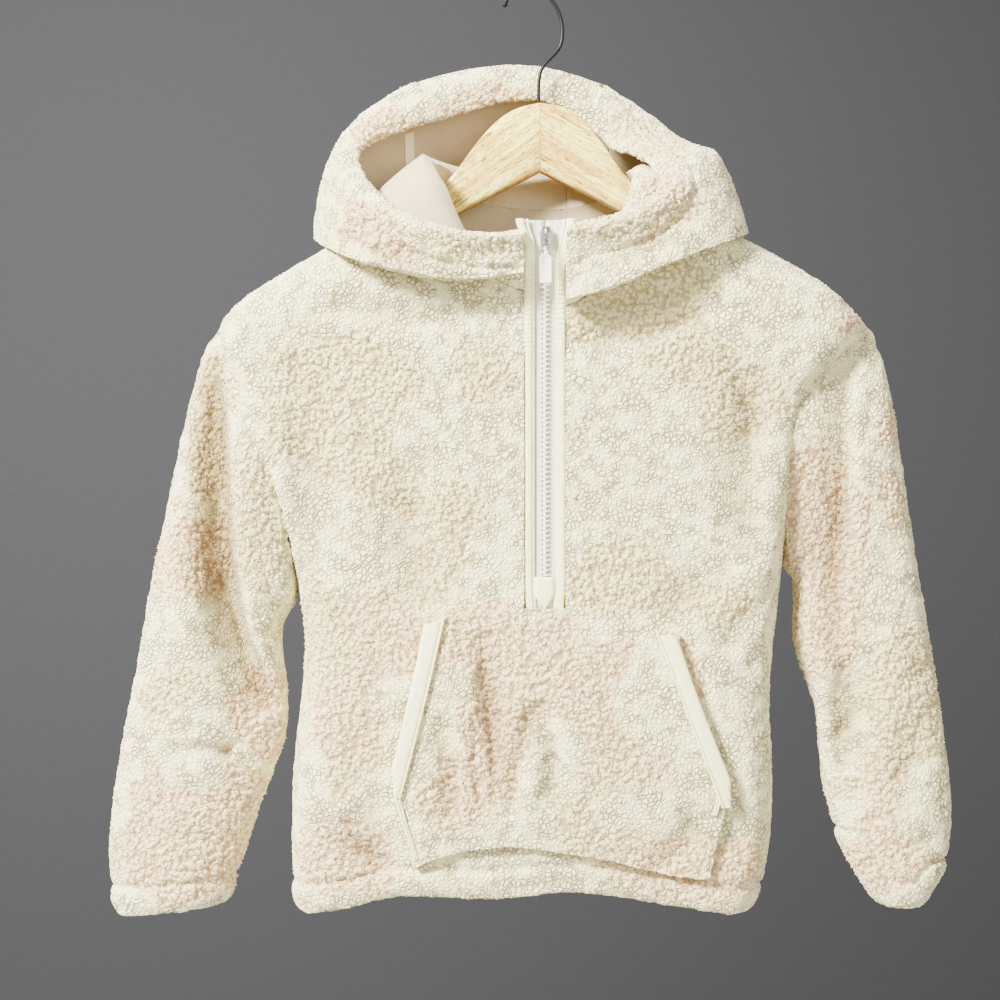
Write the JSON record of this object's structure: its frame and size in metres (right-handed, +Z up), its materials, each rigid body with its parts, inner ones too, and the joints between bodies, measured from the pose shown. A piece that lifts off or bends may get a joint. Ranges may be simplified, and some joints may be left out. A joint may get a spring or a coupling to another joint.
{
  "type": "sherpa fleece pullover on a hanger",
  "caption": "Child's hooded half-zip pullover in curly sherpa fleece with a front pouch pocket, hanging open and empty on a flat wooden hanger with a wire hook.",
  "frame": {"origin": "inside of the top of the wire hook, where a rail bears", "axes": "+Z up along the hook, +X to the right of someone who faces the garment's front, +Y from its front to its back"},
  "size_m": [0.655, 0.1459, 0.7242],
  "materials": {
    "sherpa": "curly cream, tan and pale pink pile outside, smooth fleece inside",
    "binding": "matt knitted binding",
    "tape": "matt woven tape",
    "zip_plastic": "satin moulded plastic",
    "pull_metal": "dull nickel",
    "hook_wire": "polished wire",
    "hanger_wood": "clear satin varnish"
  },
  "bodies": {
    "garment": {"front": "sherpa", "back": "sherpa", "sleeve_left": "sherpa", "sleeve_right": "sherpa", "hood_left": "sherpa", "hood_centre": "sherpa", "hood_right": "sherpa", "pocket": "sherpa", "pocket_binding_left": "binding", "pocket_binding_right": "binding", "zip_binding_left": "binding", "zip_binding_right": "binding", "zip_tape_left": "tape", "zip_tape_right": "tape", "hood_tape": "tape", "zip_chain": "zip_plastic", "zip_stop": "binding", "zip_slider": "pull_metal", "zip_bail": "pull_metal", "hanger_left": "hanger_wood", "hanger_right": "hanger_wood", "hanger_hook": "hook_wire"},
    "zip_pull": {"zip_link": "pull_metal", "zip_tab": "zip_plastic"}
  },
  "joints": [
    {"name": "pull_swing", "type": "hinge", "parent": "garment", "child": "zip_pull", "pos_m": [0.0087, -0.0662, -0.203], "axis": [-1, 0, 0], "range_deg": [0, 150]}
  ]
}
